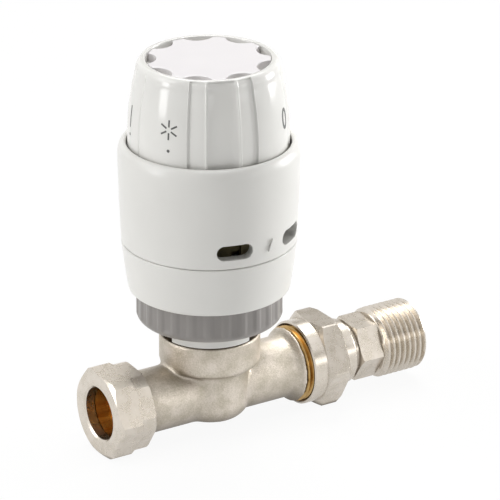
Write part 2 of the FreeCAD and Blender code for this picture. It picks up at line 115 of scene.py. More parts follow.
def paintedHollowShade(tree, colour, dark, reach, low, high):
    # painted shade: where less than the low share of the sky is seen the metal is painted dark, above the high
    # share it is plain
    sky = addNode(tree, "ShaderNodeAmbientOcclusion", {"Distance": reach * mm, "samples": 12})
    share = addNode(tree, "ShaderNodeMapRange", {"From Min": low, "From Max": high},
                    {"Value": sky.outputs["AO"]})
    mixer = addNode(tree, "ShaderNodeMix", {"data_type": "RGBA", 6: hexColour(dark)},
                    {0: share.outputs["Result"], 7: colour})
    return mixer.outputs[2]


# nickel plate on a shot-blasted forging: a grainy, soft metal, with painted shade in its hollows
# the grit is drawn coarser than real shot marks, so that it shows
forgedNickel = {"light": "DCD3C8", "dark": "BCB4A4", "hollow": "6B6153", "hollowReach": 10.0,
                "hollowSky": (0.2, 1.02), "grit": 0.45, "gritHeight": 0.16, "wave": 1.4, "waveHeight": 0.04,
                "stain": 4.0, "rough": (0.34, 0.48)}


def makeForgedNickel():
    look = forgedNickel
    material, tree, shader, place = newMaterial("forgedNickelPlate")
    grit = addNode(tree, "ShaderNodeTexNoise",
                   {"Scale": perMetre(look["grit"]), "Detail": 3.0, "Roughness": 0.6}, {"Vector": place})
    stain = addNode(tree, "ShaderNodeTexNoise",
                    {"Scale": perMetre(look["stain"]), "Detail": 2.0}, {"Vector": place})
    wave = addNode(tree, "ShaderNodeTexNoise",
                   {"Scale": perMetre(look["wave"]), "Detail": 1.0}, {"Vector": place})
    both = addNode(tree, "ShaderNodeMath", {"operation": "ADD"},
                   {0: stain.outputs["Fac"], 1: grit.outputs["Fac"]})
    share = addNode(tree, "ShaderNodeMapRange", {"From Min": 0.75, "From Max": 1.25},
                    {"Value": both.outputs[0]})
    plain = addNode(tree, "ShaderNodeMix",
                    {"data_type": "RGBA", 6: hexColour(look["dark"]), 7: hexColour(look["light"])},
                    {0: share.outputs["Result"]})
    # painted shade: the colour darkens towards the hollow colour where the metal sees little sky
    colour = paintedHollowShade(tree, plain.outputs[2], look["hollow"], look["hollowReach"], *look["hollowSky"])
    tree.links.new(colour, shader.inputs["Base Color"])
    shader.inputs["Metallic"].default_value = 1.0
    rough = addNode(tree, "ShaderNodeMapRange", {"To Min": look["rough"][0], "To Max": look["rough"][1]},
                    {"Value": grit.outputs["Fac"]})
    tree.links.new(rough.outputs["Result"], shader.inputs["Roughness"])
    waves = addNode(tree, "ShaderNodeBump", {"Strength": 0.6, "Distance": look["waveHeight"] * mm},
                    {"Height": wave.outputs["Fac"]})
    bumps = addNode(tree, "ShaderNodeBump", {"Strength": 0.9, "Distance": look["gritHeight"] * mm},
                    {"Height": grit.outputs["Fac"], "Normal": waves.outputs["Normal"]})
    tree.links.new(bumps.outputs["Normal"], shader.inputs["Normal"])
    return material


# tone is a slow change of colour and grain a fine unevenness, both with sizes in mm
plateKind = {"metallic": 1.0, "tone": 3.0, "toneDetail": 4.0, "spread": (0.3, 0.7), "relief": 0.7}
metalKind = {"metallic": 1.0, "tone": 3.5, "toneDetail": 3.0, "spread": (0.35, 0.65), "relief": 0.6}
plasticKind = {"metallic": 0.0, "tone": 14.0, "toneDetail": 1.0, "spread": (0.3, 0.7), "relief": 0.5}
# its hollow colour is painted shade for corners and thread roots
turnedNickel = {"light": "DAD2C8", "dark": "CCC4B7", "rough": (0.25, 0.30), "grain": 0.4, "height": 0.008,
                "hollow": "5A4E3C", "hollowReach": 1.6}


def makeSurface(name, kind, look):
    look = {**kind, **look}
    material, tree, shader, place = newMaterial(name)
    tone = addNode(tree, "ShaderNodeTexNoise",
                   {"Scale": perMetre(look["tone"]), "Detail": look["toneDetail"]}, {"Vector": place})
    grain = addNode(tree, "ShaderNodeTexNoise",
                    {"Scale": perMetre(look["grain"]), "Detail": 2.0}, {"Vector": place})
    share = addNode(tree, "ShaderNodeMapRange", {"From Min": look["spread"][0], "From Max": look["spread"][1]},
                    {"Value": tone.outputs["Fac"]})
    plain = addNode(tree, "ShaderNodeMix",
                    {"data_type": "RGBA", 6: hexColour(look["dark"]), 7: hexColour(look["light"])},
                    {0: share.outputs["Result"]})
    colour = plain.outputs[2]
    # painted shade in the hollows, for looks that give a hollow colour
    if "hollow" in look:
        colour = paintedHollowShade(tree, colour, look["hollow"], look["hollowReach"], *look["hollowSky"])
    if "streak" in look:
        colour = streaks(tree, place, colour, look["streak"])
    tree.links.new(colour, shader.inputs["Base Color"])
    shader.inputs["Metallic"].default_value = look["metallic"]
    if "ior" in look:
        shader.inputs["IOR"].default_value = look["ior"]
    patches = tone if look["metallic"] else grain
    rough = addNode(tree, "ShaderNodeMapRange", {"To Min": look["rough"][0], "To Max": look["rough"][1]},
                    {"Value": patches.outputs["Fac"]})
    tree.links.new(rough.outputs["Result"], shader.inputs["Roughness"])
    bumps = addNode(tree, "ShaderNodeBump", {"Strength": look["relief"], "Distance": look["height"] * mm},
                    {"Height": grain.outputs["Fac"]})
    tree.links.new(bumps.outputs["Normal"], shader.inputs["Normal"])
    return material


def streaks(tree, place, colour, dark):
    # long streaks along the pipe, left by drawing and flux, 1.6 mm wide and about 33 mm long
    across = perMetre(1.6)
    stretch = addNode(tree, "ShaderNodeMapping", {"Scale": (30, across, across)}, {"Vector": place})
    noise = addNode(tree, "ShaderNodeTexNoise", {"Scale": 1.0, "Detail": 2.0},
                    {"Vector": stretch.outputs["Vector"]})
    share = addNode(tree, "ShaderNodeMapRange", {"From Min": 0.40, "From Max": 0.60},
                    {"Value": noise.outputs["Fac"]})
    mixer = addNode(tree, "ShaderNodeMix", {"data_type": "RGBA", 6: hexColour(dark)},
                    {0: share.outputs["Result"], 7: colour})
    return mixer.outputs[2]


nickelForged = makeForgedNickel()
# nickel plate on turned brass: a bright, warm, slightly cloudy metal, with painted shade in its corners
nickelTurned = makeSurface("turnedNickelPlate", plateKind, {**turnedNickel, "hollowSky": (0.2, 0.9)})
# the same plate on a thread, with painted shade in the roots
nickelThread = makeSurface("screwedNickelPlate", plateKind, {**turnedNickel, "hollowSky": (-0.6, 0.6)})
# turned brass: a soft yellow shine
brassBare = makeSurface("turnedBrass", metalKind, {
    "light": "CBAA72", "dark": "AC8850", "rough": (0.22, 0.36), "grain": 0.3, "height": 0.01})
# drawn brass in the bore: golden, with browner streaks where flux dried
brassOld = makeSurface("drawnBrass", metalKind, {
    "light": "F7E6BA", "dark": "EBCD98", "rough": (0.16, 0.26), "grain": 0.4, "height": 0.01,
    "streak": "D4AA72"})
# drawn spring wire: grey and fairly bright
steelWire = makeSurface("springSteel", metalKind, {
    "light": "B4B4B2", "dark": "8F8F8E", "rough": (0.25, 0.38), "grain": 0.2, "height": 0.006})
# pressed aluminium sheet: pale and satin
canAluminium = makeSurface("pressedAluminium", metalKind, {
    "light": "C9CACB", "dark": "B2B3B5", "rough": (0.28, 0.40), "grain": 0.3, "height": 0.006})
# ABS moulded in a polished tool: glossy white with sharp lamp reflections
dialAbs = makeSurface("polishedAbs", plasticKind, {
    "light": "E6E5E1", "dark": "E3E2DE", "rough": (0.12, 0.18), "grain": 0.5, "height": 0.002, "ior": 1.53})
# satin ABS of the top disc: cooler and softer
discAbs = makeSurface("satinAbs", plasticKind, {
    "light": "E2DFE0", "dark": "DFDCDD", "rough": (0.34, 0.40), "grain": 0.3, "height": 0.003, "ior": 1.53})
# ABS moulded in a spark-eroded tool: white with a broad, soft highlight
casingAbs = makeSurface("mouldedAbs", plasticKind, {
    "light": "E1E0DC", "dark": "DEDDD9", "rough": (0.30, 0.36), "grain": 0.25, "height": 0.004, "ior": 1.53})
# grey moulded nylon: a satin face that shows each flute
ringNylon = makeSurface("greyNylon", plasticKind, {
    "light": "8F8B88", "dark": "898582", "rough": (0.32, 0.42), "grain": 0.25, "height": 0.006, "ior": 1.52})
# acetal inside the head: olive brown, seen dark through the slots
innerAcetal = makeSurface("darkAcetal", plasticKind, {
    "light": "948A68", "dark": "867C5C", "rough": (0.35, 0.45), "grain": 0.3, "height": 0.004, "ior": 1.48})
# moulded rubber: dull black
sealRubber = makeSurface("epdmRubber", plasticKind, {
    "light": "1C1C1C", "dark": "161616", "rough": (0.6, 0.7), "grain": 0.3, "height": 0.006, "ior": 1.52})
# pressed fibre: dull brick red
washerFibre = makeSurface("vulcanFibre", plasticKind, {
    "light": "8A3A2A", "dark": "7A3226", "rough": (0.6, 0.75), "grain": 0.2, "height": 0.01, "ior": 1.5})
# pad-printed ink: a thin dark grey film, less glossy than the dial
markInk = makeSurface("padPrintInk", plasticKind, {
    "light": "5A5A58", "dark": "545452", "rough": (0.35, 0.45), "grain": 0.2, "height": 0.001, "ior": 1.5})
print("materials made")


def spot(axis, radius, along):
    if axis == "head":
        return Vector((headX + radius, 0, along)) * mm
    return Vector((along, 0, radius)) * mm


def spinTurn(bm, axis, steps):
    centre = Vector((headX * mm, 0, 0)) if axis == "head" else Vector((0, 0, 0))
    direction = (0, 0, 1) if axis == "head" else (1, 0, 0)
    bmesh.ops.spin(bm, geom=bm.verts[:] + bm.edges[:], cent=centre, axis=direction,
                   angle=2 * math.pi, steps=steps, use_merge=True)


def turned(axis, corners, steps=128, segments=4):
    # corners are radius, place along the axis and, where a third is given, its rounding
    bm = bmesh.new()
    loop = [bm.verts.new(spot(axis, corner[0], corner[1])) for corner in corners]
    for first, second in zip(loop, loop[1:] + loop[:1]):
        bm.edges.new((first, second))
    for vert, corner in zip(loop, corners):
        if len(corner) > 2:
            bmesh.ops.bevel(bm, geom=[vert], offset=corner[2] * mm, offset_type="OFFSET",
                            segments=segments, profile=0.5, affect="VERTICES", material=-1)
    spinTurn(bm, axis, steps)
    clean(bm)
    return bm


def clean(bm):
    bmesh.ops.remove_doubles(bm, verts=bm.verts, dist=0.001 * mm)
    bmesh.ops.dissolve_degenerate(bm, edges=bm.edges, dist=0.0005 * mm)
    bmesh.ops.recalc_face_normals(bm, faces=bm.faces)


def finishPiece(name, bm, material, body, stands=(), sharp=32):
    for face in bm.faces:
        face.smooth = True
    for edge in bm.edges:
        edge.smooth = len(edge.link_faces) == 2 and edge.calc_face_angle() < math.radians(sharp)
    mesh = bpy.data.meshes.new(name)
    bm.to_mesh(mesh)
    bm.free()
    mesh.materials.append(material)
    piece = bpy.data.objects.new(name, mesh)
    scene.collection.objects.link(piece)
    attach(piece, body)
    if stands:
        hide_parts(*stands)
    return piece


def combined(first, second, operation):
    # a boolean of two meshes, returned as a new mesh
    pair = []
    for bm in (first, second):
        mesh = bpy.data.meshes.new("scratch")
        bm.to_mesh(mesh)
        bm.free()
        holder = bpy.data.objects.new("scratch", mesh)
        scene.collection.objects.link(holder)
        pair.append(holder)
    cut = pair[0].modifiers.new("cut", "BOOLEAN")
    cut.operation = operation
    cut.solver = "EXACT"
    cut.object = pair[1]
    bpy.context.view_layer.update()
    result = bmesh.new()
    result.from_object(pair[0], bpy.context.evaluated_depsgraph_get())
    for holder in pair:
        mesh = holder.data
        bpy.data.objects.remove(holder)
        bpy.data.meshes.remove(mesh)
    return result


def roundEdges(piece, width, angle):
    bevel = piece.modifiers.new("edges", "BEVEL")
    bevel.width = width * mm
    bevel.segments = 2
    bevel.limit_method = "ANGLE"
    bevel.angle_limit = math.radians(angle)
    bevel.harden_normals = True


def polar(vert):
    # angle in degrees and radius in mm about the head's axis
    across = vert.co.x / mm - headX
    deep = vert.co.y / mm
    return math.degrees(math.atan2(deep, across)) % 360, math.hypot(across, deep)


def setRadius(vert, radius):
    angle, old = polar(vert)
    scale = radius / old
    vert.co.x = (headX + (vert.co.x / mm - headX) * scale) * mm
    vert.co.y *= scale


def smoothStep(value, low, high):
    t = min(max((value - low) / (high - low), 0), 1)
    return t * t * (3 - 2 * t)


# the dial has crowned panels with grooves between them and a flat grip for the finger
# angles are in degrees about the head's axis and sizes in mm
dialLook = {"pitch": 43.8, "gripStart": 222.3, "gripEnd": 275.6, "ridgeOne": 236.4, "ridgeTwo": 261.2,
            "panelCrown": 0.34, "groove": 0.28, "grooveWidth": 1.4, "step": 0.85, "ridge": 0.25, "scoop": 1.05,
            "gripTop": 19.3, "bead": 0.22, "sideMid": (22.19, 87.0), "shoulder": (20.39, 96.6), "mouth": 17.5,
            "capSeat": 96.9, "wall": 1.8, "skirt": 22.8, "web": 94.9, "rimHeight": 75.6, "boss": 5.0,
            "sideRows": 26, "crownRows": 10, "steps": 720}


def sideRadius(height):
    # a parabola through the skirt, the middle and the shoulder of the dial's side
    look = dialLook
    x0, y0 = look["rimHeight"], look["skirt"]
    y1, x1 = look["sideMid"]
    y2, x2 = look["shoulder"]
    if height <= x0:
        return y0
    a = y0 * (height - x1) * (height - x2) / ((x0 - x1) * (x0 - x2))
    b = y1 * (height - x0) * (height - x2) / ((x1 - x0) * (x1 - x2))
    c = y2 * (height - x0) * (height - x1) / ((x2 - x0) * (x2 - x1))
    return a + b + c


def panelDepth(angle, base):
    # base is the plain radius there, and the panels stop where the crown's rim begins
    look = dialLook
    if look["gripStart"] <= angle <= look["gripEnd"]:
        fade = smoothStep(base, look["gripTop"] - 0.25, look["gripTop"] + 0.2)
        inside = min(angle - look["gripStart"], look["gripEnd"] - angle)
        edge = smoothStep(inside, 0, 0.7)
        fromRidge = min(abs(angle - look["ridgeOne"]), abs(angle - look["ridgeTwo"]))
        bead = look["bead"] * (1 - smoothStep(fromRidge, 0.3, 1.1))
        if look["ridgeOne"] < angle < look["ridgeTwo"]:
            u = (angle - look["ridgeOne"]) / (look["ridgeTwo"] - look["ridgeOne"]) * 2 - 1
            return fade * (look["scoop"] + (look["ridge"] - look["scoop"]) * abs(u) ** 3 - bead)
        t = inside / (look["ridgeOne"] - look["gripStart"])
        return fade * (edge * (look["step"] + (look["ridge"] - look["step"]) * t) - bead)
    fade = smoothStep(base, look["gripTop"] - 0.6, look["gripTop"] + 0.6)
    along = (angle - look["gripEnd"]) % 360
    part = along % look["pitch"]
    fromEdge = min(part, look["pitch"] - part)
    u = part / look["pitch"] * 2 - 1
    depth = look["panelCrown"] * u * u
    if round(along / look["pitch"]) not in (0, 7):
        depth += look["groove"] * (1 - smoothStep(fromEdge, 0, look["grooveWidth"] / 2))
    return fade * depth


def makeDial():
    look = dialLook
    mouth = look["mouth"]
    top = dialHigh.z
    shoulderR, shoulderZ = look["shoulder"]
    corners = []
    lowest = look["rimHeight"] - 3
    for i in range(look["sideRows"] + 1):
        height = lowest + (shoulderZ - lowest) * i / look["sideRows"]
        corners.append((sideRadius(height), height))
    for i in range(1, look["crownRows"] + 1):
        turn = math.pi / 2 * i / look["crownRows"]
        corners.append((mouth + 0.6 + (shoulderR - mouth - 0.6) * math.cos(turn) ** 0.9,
                        shoulderZ + (top - shoulderZ) * math.sin(turn)))
    corners += [(mouth + 0.15, top - 0.12), (mouth, top - 0.45), (mouth, look["capSeat"] + 0.02),
                (look["boss"], look["capSeat"] + 0.02), (look["boss"], look["web"]),
                (shoulderR - look["wall"], look["web"], 0.8),
                (look["skirt"] - look["wall"], look["rimHeight"]), (look["skirt"] - look["wall"], dialLow.z),
                (look["skirt"], dialLow.z, 0.2)]
    bm = turned("head", corners, steps=look["steps"])
    for vert in bm.verts:
        angle, radius = polar(vert)
        height = vert.co.z / mm
        outside = radius > sideRadius(min(height, shoulderZ)) - look["wall"] + 0.4 or height > shoulderZ
        if radius > mouth + 0.3 and height > lowest - 0.1 and outside:
            setRadius(vert, radius - panelDepth(angle, radius))
    finishPiece("dialShell", bm, dialAbs, "dial_knob", ["dial"], 50)


makeDial()
print("dial made")

# printed marks: plain numbers, a star for frost protection and setting dots
markLook = {"first": 307.0, "star": 208.7, "height": 6.3, "base": 81.7, "lift": 0.03, "thick": 0.03,
            "dot": 0.45, "dotHeight": 79.6, "starHeight": 85.6, "starInner": 0.8, "starOuter": 2.8,
            "stroke": 0.48, "bold": 0.12}


def wrapOnDial(bm, angle):
    # x runs round the dial, y up it
    bmesh.ops.triangulate(bm, faces=bm.faces)
    for i in range(2):
        long = [edge for edge in bm.edges if edge.calc_length() > 0.5 * mm]
        if long:
            bmesh.ops.subdivide_edges(bm, edges=long, cuts=1)
            bmesh.ops.triangulate(bm, faces=bm.faces)
    for vert in bm.verts:
        height = vert.co.y / mm
        radius = sideRadius(height)
        at = angle + math.degrees(vert.co.x / mm / radius)
        radius += markLook["lift"] - panelDepth(at % 360, radius)
        vert.co = Vector((headX + radius * math.cos(math.radians(at)),
                          radius * math.sin(math.radians(at)), height)) * mm
    bmesh.ops.recalc_face_normals(bm, faces=bm.faces)
    bmesh.ops.solidify(bm, geom=bm.faces[:], thickness=markLook["thick"] * mm)
    return bm


def addStroke(bm, low, high, width, turn, middle):
    # a flat bar from low to high along a turned direction
    bar = bmesh.ops.create_grid(bm, x_segments=1, y_segments=4, size=0.5)["verts"]
    bmesh.ops.scale(bm, vec=(width * mm, (high - low) * mm, 1), verts=bar)
    bmesh.ops.translate(bm, vec=(0, (low + high) / 2 * mm, 0), verts=bar)
    bmesh.ops.rotate(bm, cent=(0, 0, 0), matrix=Matrix.Rotation(math.radians(turn), 3, "Z"), verts=bar)
    bmesh.ops.translate(bm, vec=(0, middle * mm, 0), verts=bar)


def addDot(bm, height):
    dot = bmesh.ops.create_circle(bm, cap_ends=True, radius=markLook["dot"] * mm, segments=16)["verts"]
    bmesh.ops.translate(bm, vec=(0, height * mm, 0), verts=dot)


def numberMesh(text):
    curve = bpy.data.curves.new("number", "FONT")
    curve.body = text
    curve.size = markLook["height"] * 1.36 * mm
    curve.align_x = "CENTER"
    curve.resolution_u = 6
    curve.offset = markLook["bold"] * mm
    holder = bpy.data.objects.new("number", curve)
    scene.collection.objects.link(holder)
    bpy.context.view_layer.update()
    mesh = bpy.data.meshes.new_from_object(holder.evaluated_get(bpy.context.evaluated_depsgraph_get()))
    bpy.data.objects.remove(holder)
    bm = bmesh.new()
    bm.from_mesh(mesh)
    bpy.data.meshes.remove(mesh)
    for vert in bm.verts:
        vert.co.x *= 0.8
        vert.co.y += markLook["base"] * mm
    return bm


def makeMarks():
    look = markLook
    for i, text in enumerate(["0", "star", "1", "2", "3", "4", "5"]):
        angle = look["first"] if text == "0" else look["star"] - dialLook["pitch"] * (i - 1)
        if text == "star":
            bm = bmesh.new()
            for arm in range(6):
                addStroke(bm, look["starInner"], look["starOuter"], look["stroke"], 60 * arm,
                          look["starHeight"])
        elif text == "1":
            bm = bmesh.new()
            addStroke(bm, 0, look["height"], look["stroke"] * 1.15, 0, look["base"])
        else:
            bm = numberMesh(text)
        if text != "0":
            addDot(bm, look["dotHeight"])
        wrapOnDial(bm, angle % 360)
        finishPiece("dialMark_" + text, bm, markInk, "dial_knob", ())


makeMarks()
print("marks made")

# the top disc, with a scalloped rim
capLook = {"radius": 17.25, "seat": 96.95, "top": 99.35, "scallops": 9, "cutRadius": 4.8, "depth": 2.8,
           "firstScallop": 28.0}


def scallopedRadius(angle):
    look = capLook
    step = 360 / look["scallops"]
    off = (angle - look["firstScallop"] + step / 2) % step - step / 2
    reach = look["radius"] - look["depth"] + look["cutRadius"]
    turn = math.radians(off)
    inside = look["cutRadius"] ** 2 - (reach * math.sin(turn)) ** 2
    if inside <= 0:
        return look["radius"]
    return min(look["radius"], reach * math.cos(turn) - math.sqrt(inside))


def makeCap():
    look = capLook
    bm = bmesh.new()
    rim = bmesh.ops.create_circle(bm, cap_ends=True, radius=look["radius"] * mm, segments=720)["verts"]
    bmesh.ops.translate(bm, vec=(headX * mm, 0, look["seat"] * mm), verts=rim)
    for vert in rim:
        setRadius(vert, scallopedRadius(polar(vert)[0]))
    raised = bmesh.ops.extrude_face_region(bm, geom=bm.faces[:])
    top = [item for item in raised["geom"] if isinstance(item, bmesh.types.BMVert)]
    bmesh.ops.translate(bm, vec=(0, 0, (look["top"] - look["seat"]) * mm), verts=top)
    crown = [face for face in bm.faces if all(v in top for v in face.verts)]
    bmesh.ops.inset_region(bm, faces=crown, thickness=0.12 * mm, depth=0.10 * mm, use_even_offset=True)
    crown = [face for face in bm.faces
             if len(face.verts) > 100 and face.calc_center_median().z > look["top"] * mm]
    bmesh.ops.inset_region(bm, faces=crown, thickness=0.25 * mm, depth=0.06 * mm, use_even_offset=True)
    clean(bm)
    finishPiece("dialTopDisc", bm, discAbs, "dial_knob", ["dial_cap"], 8)


makeCap()
print("cap made")

# the sleeve, with vent slots
sleeveLook = {"slotAngles": (255.0, 305.0, 75.0, 125.0), "slotHeight": 50.9, "slotLength": 10.5,
              "slotWidth": 4.6, "seam": 24.8, "wide": 25.6, "shoulder": 71.8, "rimInner": 23.24, "bore": 23.54,
              "linerDepth": 1.9, "linerReach": 3.1, "linerSpan": 15.5, "pointer": 281.5, "pointerSize": 1.9,
              "pointerRise": 0.24}


def slotCutter(angle):
    look = sleeveLook
    bm = bmesh.new()
    disc = bmesh.ops.create_circle(bm, cap_ends=True, radius=look["slotWidth"] / 2 * mm, segments=32)["verts"]
    half = (look["slotLength"] - look["slotWidth"]) / 2 * mm
    for vert in disc:
        vert.co.x += half if vert.co.x > 1e-7 else -half
    bmesh.ops.rotate(bm, cent=(0, 0, 0), matrix=Matrix.Rotation(math.pi / 2, 3, "X"), verts=disc)
    raised = bmesh.ops.extrude_face_region(bm, geom=bm.faces[:])
    far = [item for item in raised["geom"] if isinstance(item, bmesh.types.BMVert)]
    bmesh.ops.translate(bm, vec=(0, 9 * mm, 0), verts=far)
    bmesh.ops.translate(bm, vec=(0, 20 * mm, 0), verts=bm.verts)
    turn = Matrix.Rotation(math.radians(angle - 90), 3, "Z")
    bmesh.ops.rotate(bm, cent=(0, 0, 0), matrix=turn, verts=bm.verts)
    bmesh.ops.translate(bm, vec=(headX * mm, 0, look["slotHeight"] * mm), verts=bm.verts)
    bmesh.ops.recalc_face_normals(bm, faces=bm.faces)
    return bm


def makeSleeve():
    look = sleeveLook
    top = sleeveHigh.z
    low = sleeveLow.z
    corners = [(look["bore"], low), (look["seam"] - 0.25, low), (look["seam"], low + 0.3)]
    for i in range(1, 9):
        height = low + 0.3 + (look["shoulder"] - low - 0.3) * i / 8
        bulge = 0.12 * math.sin(math.pi * i / 8)
        corners.append((look["seam"] + (look["wide"] - look["seam"]) * i / 8 + bulge, height))
    for i in range(1, 11):
        turn = math.pi / 2 * i / 10
        corners.append((look["rimInner"] + 0.35 + (look["wide"] - look["rimInner"] - 0.35) * math.cos(turn),
                        look["shoulder"] + (top - look["shoulder"]) * math.sin(turn)))
    corners += [(look["rimInner"], top - 0.3), (look["rimInner"], top - 1.5), (look["bore"], top - 1.9)]
    bm = turned("head", corners, steps=180)
    for angle in look["slotAngles"]:
        bm = combined(bm, slotCutter(angle), "DIFFERENCE")
    clean(bm)
    piece = finishPiece("sleeveShell", bm, casingAbs, "valve", ["upper_casing"], 30)
    roundEdges(piece, 0.18, 40)


makeSleeve()


def makeSlotLiners():
    # the slots' inner walls, which make the openings look as thick as the moulding
    look = sleeveLook
    for count, angle in enumerate(look["slotAngles"]):
        inner, outer = look["bore"] - look["linerDepth"], look["bore"] + 0.2
        low, high = look["slotHeight"] - look["linerReach"], look["slotHeight"] + look["linerReach"]
        bm = turned("head", [(inner, low), (outer, low), (outer, high), (inner, high)], steps=180)
        for side in (-1, 1):
            edge = math.radians(angle + side * look["linerSpan"])
            normal = Vector((-math.sin(edge), math.cos(edge), 0)) * side
            bmesh.ops.bisect_plane(bm, geom=bm.verts[:] + bm.edges[:] + bm.faces[:], dist=0.001 * mm,
                                   plane_co=(headX * mm, 0, 0), plane_no=normal, clear_outer=True)
            bmesh.ops.holes_fill(bm, edges=[item for item in bm.edges if item.is_boundary], sides=8)
        clean(bm)
        bm = combined(bm, slotCutter(angle), "DIFFERENCE")
        clean(bm)
        finishPiece("slotLiner_" + str(count + 1), bm, casingAbs, "valve", (), 30)


makeSlotLiners()


def makePointer():
    # a raised triangle that the dial's marks are read against
    look = sleeveLook
    bm = bmesh.new()
    arrow = bmesh.ops.create_circle(bm, cap_ends=True, radius=look["pointerSize"] * mm, segments=3)["verts"]
    bmesh.ops.scale(bm, vec=(0.8, 1.25, 1), verts=arrow)
    bmesh.ops.subdivide_edges(bm, edges=bm.edges[:], cuts=3)
    bmesh.ops.triangulate(bm, faces=bm.faces)
    for vert in bm.verts:
        height = look["slotHeight"] - 0.3 + vert.co.y / mm
        up = (height - sleeveLow.z) / (look["shoulder"] - sleeveLow.z)
        radius = look["seam"] + (look["wide"] - look["seam"]) * up + look["pointerRise"]
        at = math.radians(look["pointer"]) + vert.co.x / mm / radius
        vert.co = Vector((headX + radius * math.cos(at), radius * math.sin(at), height)) * mm
    bmesh.ops.recalc_face_normals(bm, faces=bm.faces)
    bmesh.ops.solidify(bm, geom=bm.faces[:], thickness=0.5 * mm)
    finishPiece("settingPointer", bm, casingAbs, "valve", ())


makePointer()

# the lower casing below the seam
casingLook = {"bottom": 22.9, "seam": 24.8, "wall": 1.6, "floorLow": 36.0, "floorHigh": 38.0, "hole": 6.5,
              "lip": 23.48, "lipHeight": 1.6, "gap": 0.2}


def makeLowerCasing():
    look = casingLook
    low = casingLow.z
    seam = sleeveLow.z - look["gap"]
    slope = (look["seam"] - look["bottom"]) / (seam - low)
    corners = [(look["bottom"] - look["wall"], low, 0.15), (look["bottom"] - 0.05, low, 0.9)]
    for i in range(1, 7):
        height = low + (seam - low) * i / 7
        corners.append((look["bottom"] + slope * (height - low) + 0.12 * math.sin(math.pi * i / 7), height))
    corners += [(look["seam"], seam - 0.3), (look["seam"] - 0.25, seam), (look["lip"], seam),
                (look["lip"], seam + look["lipHeight"]), (look["lip"] - look["wall"], seam + look["lipHeight"]),
                (look["lip"] - look["wall"], look["floorHigh"]), (look["hole"], look["floorHigh"]),
                (look["hole"], look["floorLow"]), (look["bottom"] - look["wall"] + slope * 4, look["floorLow"])]
    bm = turned("head", corners, steps=180)
    finishPiece("lowerShell", bm, casingAbs, "valve", ["lower_casing"], 35)


makeLowerCasing()
print("casings made")

# the grey ring, with flutes for the fingers
ringLook = {"flutes": 26, "depth": 0.40, "radius": 20.82, "bottom": 19.7, "round": 1.1, "hole": 13.4,
            "web": 24.3, "bore": 19.0, "turn": 237.5}


def makeRing():
    look = ringLook
    low, high = ringLow.z, ringHigh.z
    corners = [(look["hole"], low, 0.2), (look["bottom"], low, 0.35),
               (look["radius"], low + look["round"], 0.8)]
    for i in range(1, 8):
        corners.append((look["radius"], low + look["round"] + (high - low - look["round"]) * i / 8))
    corners += [(look["radius"], high, 0.2), (look["bore"], high), (look["bore"], look["web"]),
                (look["hole"], look["web"])]
    bm = turned("head", corners, steps=look["flutes"] * 24, segments=5)
    for vert in bm.verts:
        angle, radius = polar(vert)
        height = vert.co.z / mm
        if radius > look["bottom"] + 0.2:
            part = ((angle - look["turn"]) * look["flutes"] / 360) % 1
            u = abs(part * 2 - 1)
            hollow = 1 - smoothStep(u, 0.30, 0.86)
            fade = smoothStep(height, low + 0.9, low + 2.6)
            setRadius(vert, radius - look["depth"] * hollow * fade)
    finishPiece("gripRing", bm, ringNylon, "head_ring", ["union_ring"], 50)


makeRing()
print("ring made")

# the forged body: tubes and trunk joined, with soft blends where they meet
bodyLook = {"tubeIn": 9.15, "tubeOut": 9.05, "barrel": 11.4, "barrelLow": -8.7, "barrelRound": 6.0,
            "neck": 14.45, "neckLow": 8.4, "voxel": 0.40, "blend": 2.4, "passes": 16, "crispPasses": 4,
            "threadEndIn": 11.2, "thread": 10.48, "stepOut": 24.4, "bandOut": 26.2, "threadOut": 11.1,
            "socket": 7.66, "socketEnd": 16.0, "coneEnd": 9.4, "bore": 5.5, "boreEnd": 10.0,
            "outletStart": 12.0, "skin": 0.2, "well": 10.6, "wellFloor": 12.0}


def joinedMesh(parts):
    whole = bmesh.new()
    for part in parts:
        mesh = bpy.data.meshes.new("scratch")
        part.to_mesh(mesh)
        part.free()
        whole.from_mesh(mesh)
        bpy.data.meshes.remove(mesh)
    return whole


def remeshed(bm, voxel):
    mesh = bpy.data.meshes.new("scratch")
    bm.to_mesh(mesh)
    bm.free()
    holder = bpy.data.objects.new("scratch", mesh)
    scene.collection.objects.link(holder)
    skin = holder.modifiers.new("skin", "REMESH")
    skin.mode = "VOXEL"
    skin.voxel_size = voxel * mm
    bpy.context.view_layer.update()
    result = bmesh.new()
    result.from_object(holder, bpy.context.evaluated_depsgraph_get())
    bpy.data.objects.remove(holder)
    bpy.data.meshes.remove(mesh)
    return result


def trunkRadius(height):
    look = bodyLook
    if height >= look["neckLow"] - 0.4:
        return look["neck"]
    bend = look["barrelRound"]
    low = look["barrelLow"] + bend
    if height >= low:
        return look["barrel"]
    return look["barrel"] - bend + math.sqrt(max(bend ** 2 - (low - height) ** 2, 0.01))


